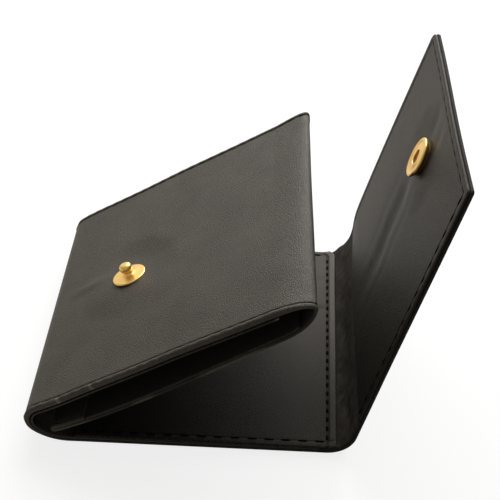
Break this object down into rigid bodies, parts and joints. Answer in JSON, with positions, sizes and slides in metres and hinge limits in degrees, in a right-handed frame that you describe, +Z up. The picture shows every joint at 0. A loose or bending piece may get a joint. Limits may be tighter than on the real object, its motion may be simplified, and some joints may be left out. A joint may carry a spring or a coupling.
{
  "type": "folding wallet",
  "caption": "Folded black leather wallet standing half open, with a front panel that doubles back as a pouch, an inside pocket and a flap closed by a brass press stud.",
  "frame": {"origin": "middle of the back panel's flat resting face, on the table", "axes": "+Z up from the table; +X across the back panel from the spine fold to the flap's crease; +Y along the folds, away from the viewer"},
  "size_m": [0.1256, 0.096, 0.1011],
  "materials": {
    "outer_leather": "fine-grained black leather, soft satin sheen",
    "lining_leather": "smooth black lining leather, matt",
    "brass": "polished yellow brass"
  },
  "bodies": {
    "back": {"back_cover": "outer_leather", "back_lining": "lining_leather", "inside_pocket": "lining_leather", "spine_cover": "outer_leather", "spine_lining": "lining_leather", "crease_cover": "outer_leather", "crease_lining": "lining_leather"},
    "front": {"front_cover": "outer_leather", "front_lining": "lining_leather", "front_bend": "outer_leather", "stud": "brass", "stud_rivet": "brass"},
    "pouch": {"pouch_cover": "outer_leather", "pouch_lining": "lining_leather"},
    "flap_root": {"flap_root_cover": "outer_leather", "flap_root_lining": "lining_leather"},
    "flap": {"flap_cover": "outer_leather", "flap_lining": "lining_leather", "snap_cap": "brass", "snap_socket": "brass", "snap_spring": "brass"}
  },
  "joints": [
    {"name": "front_fold", "type": "hinge", "parent": "back", "child": "front", "pos_m": [-0.04713, 0, 0.00919], "axis": [0, -1, 0], "range_deg": [-28.5, 142], "deforming": ["spine_cover", "spine_lining"]},
    {"name": "pouch_fold", "type": "hinge", "parent": "front", "child": "pouch", "pos_m": [0.02531, 0, 0.05593], "axis": [0, 1, 0], "range_deg": [0, 4.8]},
    {"name": "flap_fold", "type": "hinge", "parent": "back", "child": "flap_root", "pos_m": [0.0406, 0, 0.0092], "axis": [0, -1, 0], "range_deg": [-75, 0], "deforming": ["crease_cover", "crease_lining"]},
    {"name": "flap_bend", "type": "hinge", "parent": "flap_root", "child": "flap", "pos_m": [0.05128, 0, 0.0226], "axis": [0, -1, 0], "range_deg": [0, 34]}
  ]
}
